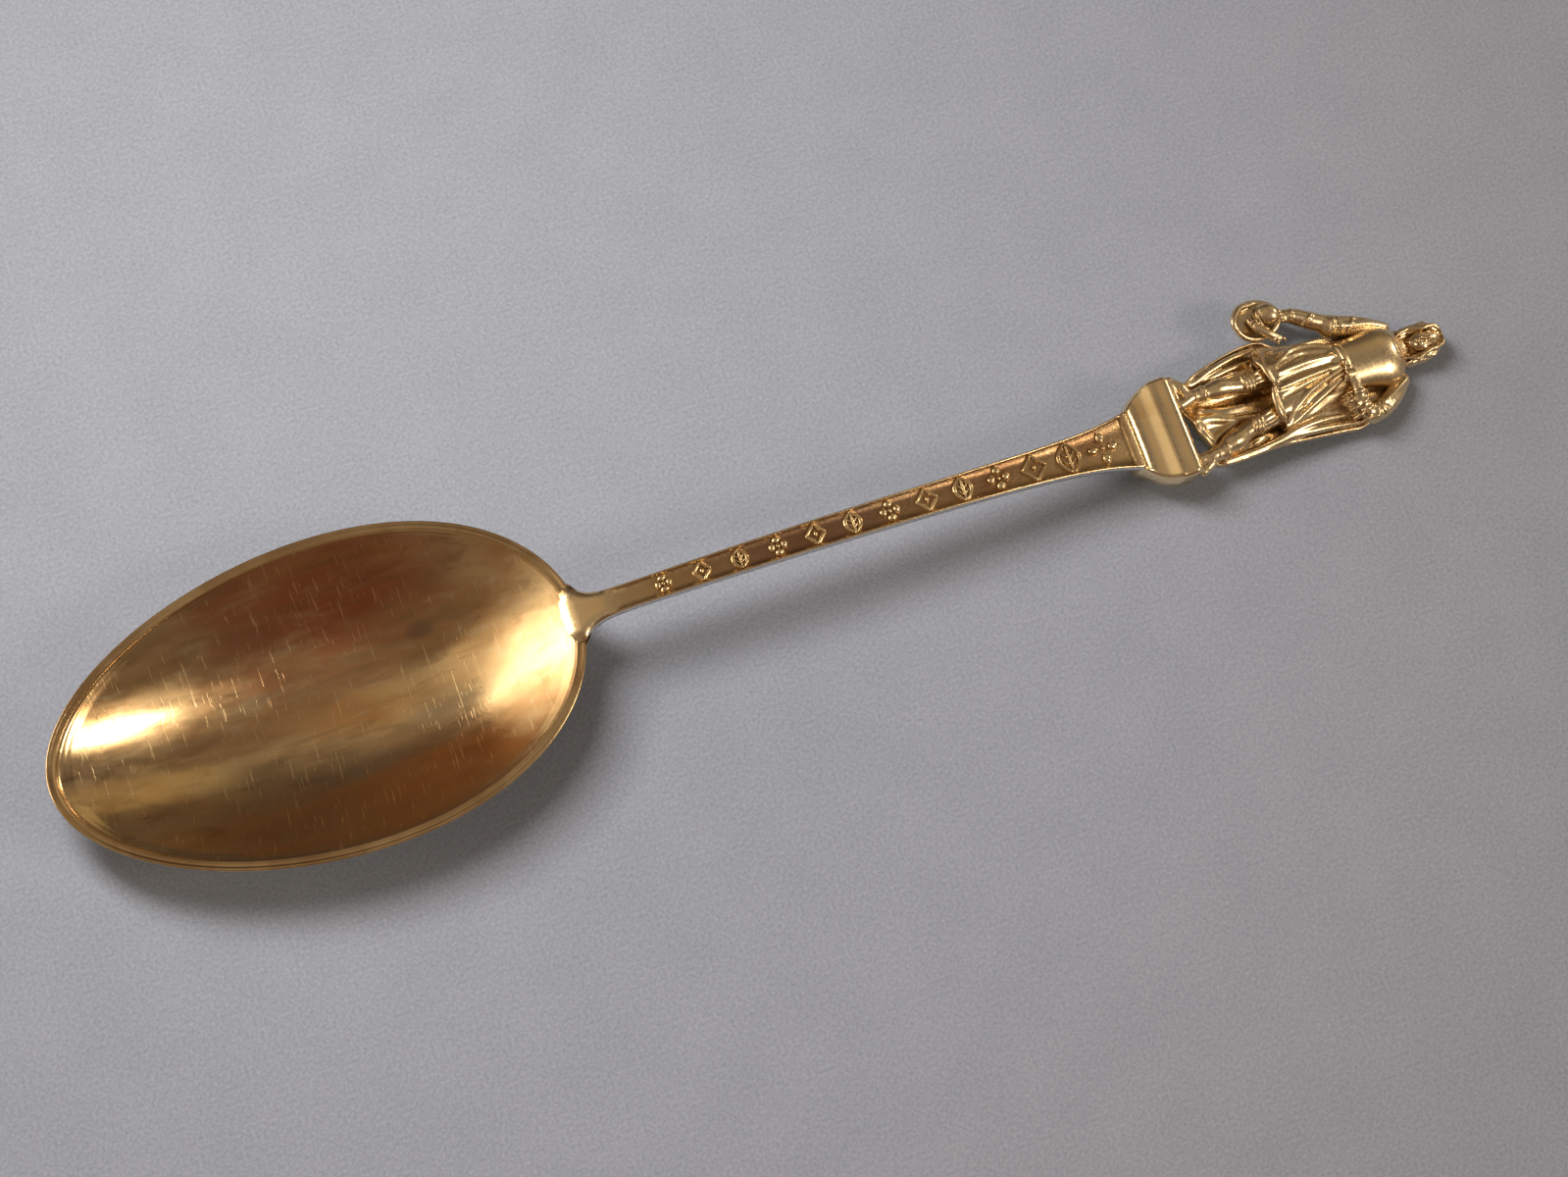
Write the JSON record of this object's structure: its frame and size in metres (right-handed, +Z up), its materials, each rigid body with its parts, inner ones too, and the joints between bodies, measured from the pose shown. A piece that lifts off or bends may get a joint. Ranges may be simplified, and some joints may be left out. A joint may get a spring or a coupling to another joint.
{
  "type": "souvenir spoon",
  "caption": "Figural souvenir spoon: gilt egg-shaped bowl, flat tapering stem with raised ornament, plinth and a cast standing figure with a hat in hand.",
  "frame": {"origin": "on the table under the middle of the bounding box; the spoon lies on its bowl and on the back of the figure's head", "axes": "+X from the bowl's tip to the figure's head, +Y to the side of the hat, +Z up out of the bowl"},
  "size_m": [0.146, 0.0306, 0.0117],
  "materials": {
    "gold_wash": "polished gold wash with light wear",
    "gilt_silver": "gilt, worn on raised edges, satin in the ground",
    "gilt_cast": "gilt casting, bright on high points and dark in recesses",
    "silver": "polished silver"
  },
  "bodies": {
    "root": {"bowl": "silver", "bowl_gilding": "gold_wash", "heel_drop": "silver", "neck_solder": "silver", "stem": "gilt_silver", "stem_relief": "gilt_silver", "plinth": "gilt_silver", "figure_cape": "gilt_cast", "figure_coat": "gilt_cast", "figure_belt": "gilt_cast", "figure_right_leg": "gilt_cast", "figure_left_leg": "gilt_cast", "figure_right_arm": "gilt_cast", "figure_left_arm": "gilt_cast", "figure_hat": "gilt_cast", "figure_head": "gilt_cast", "figure_hair": "gilt_cast"}
  },
  "joints": []
}
